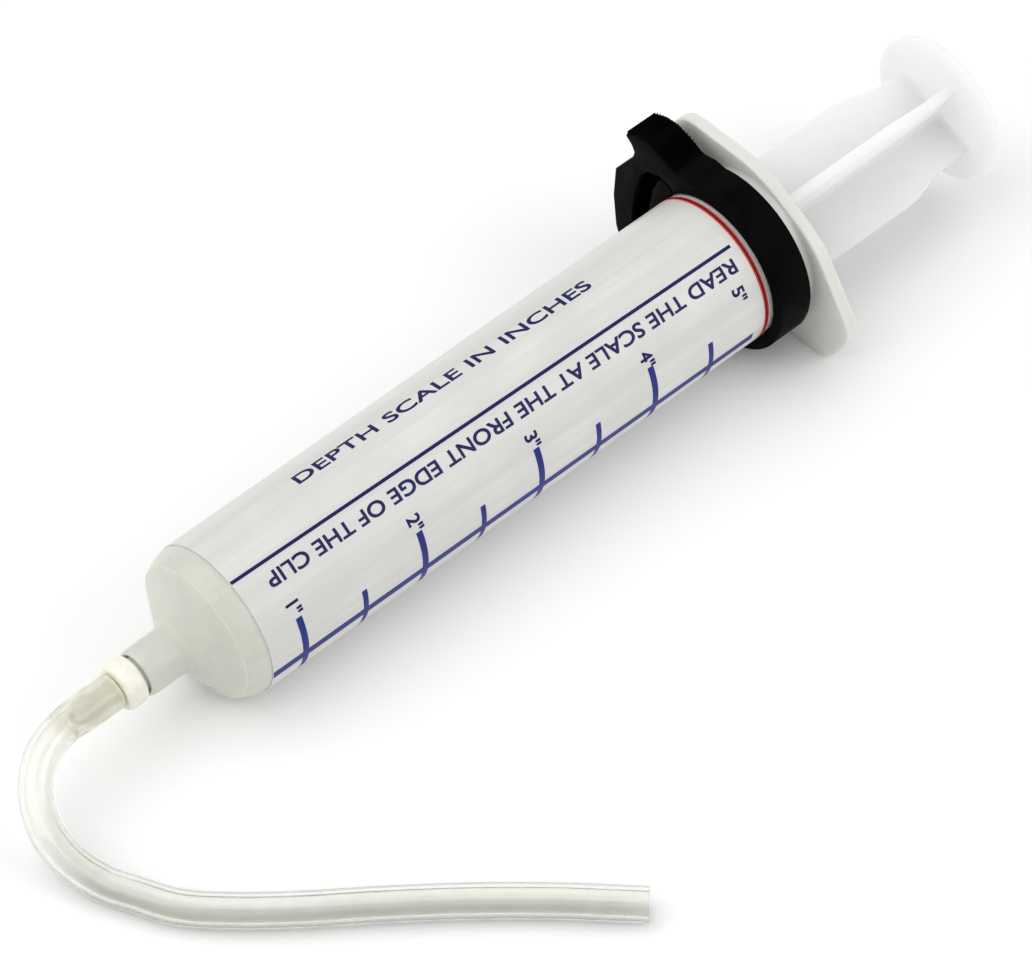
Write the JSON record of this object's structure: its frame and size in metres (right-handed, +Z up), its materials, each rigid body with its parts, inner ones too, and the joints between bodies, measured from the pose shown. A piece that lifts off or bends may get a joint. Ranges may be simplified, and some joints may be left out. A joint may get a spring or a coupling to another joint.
{
  "type": "graduated syringe with stop clamp and extension tube",
  "caption": "Large graduated luer-lock syringe with a cross-ribbed plunger, a ratchet snap clamp as a stop on its barrel and a short soft tube on its nozzle.",
  "frame": {"origin": "on the table, under the middle of the syringe's box without the extension tube", "axes": "+Z up, +X from the nozzle towards the plunger along the table; the syringe's own axis rises 1.35 degrees towards the plunger"},
  "size_m": [0.2129, 0.1093, 0.0346],
  "materials": {
    "barrel_plastic": "translucent natural polypropylene",
    "label_film": "printed translucent film",
    "stopper_rubber": "smooth moulded rubber",
    "plunger_plastic": "milky matt polypropylene",
    "clamp_plastic": "black satin nylon",
    "connector_plastic": "cream nylon",
    "tube_vinyl": "clear soft vinyl, slightly yellow"
  },
  "bodies": {
    "barrel_body": {"barrel": "barrel_plastic", "scale_label": "label_film"},
    "stopper_body": {"stopper": "stopper_rubber"},
    "rod_body": {"plunger_rod": "plunger_plastic"},
    "clamp_lower_body": {"clamp_lower_jaw": "clamp_plastic"},
    "clamp_upper_body": {"clamp_upper_jaw": "clamp_plastic"},
    "tube_body": {"extension_tube": "tube_vinyl"},
    "connector_body": {"tube_connector": "connector_plastic"}
  },
  "joints": [
    {"name": "plunger_slide", "type": "slide", "parent": "barrel_body", "child": "stopper_body", "axis": [0.9997, 0, 0.0235], "range_m": [-0.038, 0.072]},
    {"name": "rod_spin", "type": "hinge", "parent": "stopper_body", "child": "rod_body", "pos_m": [-0.02248, -0.00107, 0.01503], "axis": [0.9997, 0, 0.0235], "continuous": true},
    {"name": "clamp_slide", "type": "slide", "parent": "barrel_body", "child": "clamp_lower_body", "axis": [0.9997, 0, 0.0235], "range_m": [-0.108, 0.0023]},
    {"name": "clamp_opening", "type": "hinge", "parent": "clamp_lower_body", "child": "clamp_upper_body", "pos_m": [0.0419, -0.01686, 0.01251], "axis": [0.9997, 0, 0.0235], "range_deg": [0, 40]},
    {"name": "connector_pull", "type": "slide", "parent": "barrel_body", "child": "tube_body", "axis": [-0.9997, 0, -0.0235], "range_m": [0, 0.005]},
    {"name": "connector_screw", "type": "hinge", "parent": "tube_body", "child": "connector_body", "pos_m": [-0.08646, -0.00107, 0.01352], "axis": [-0.9997, 0, -0.0235], "range_deg": [0, 360]}
  ]
}
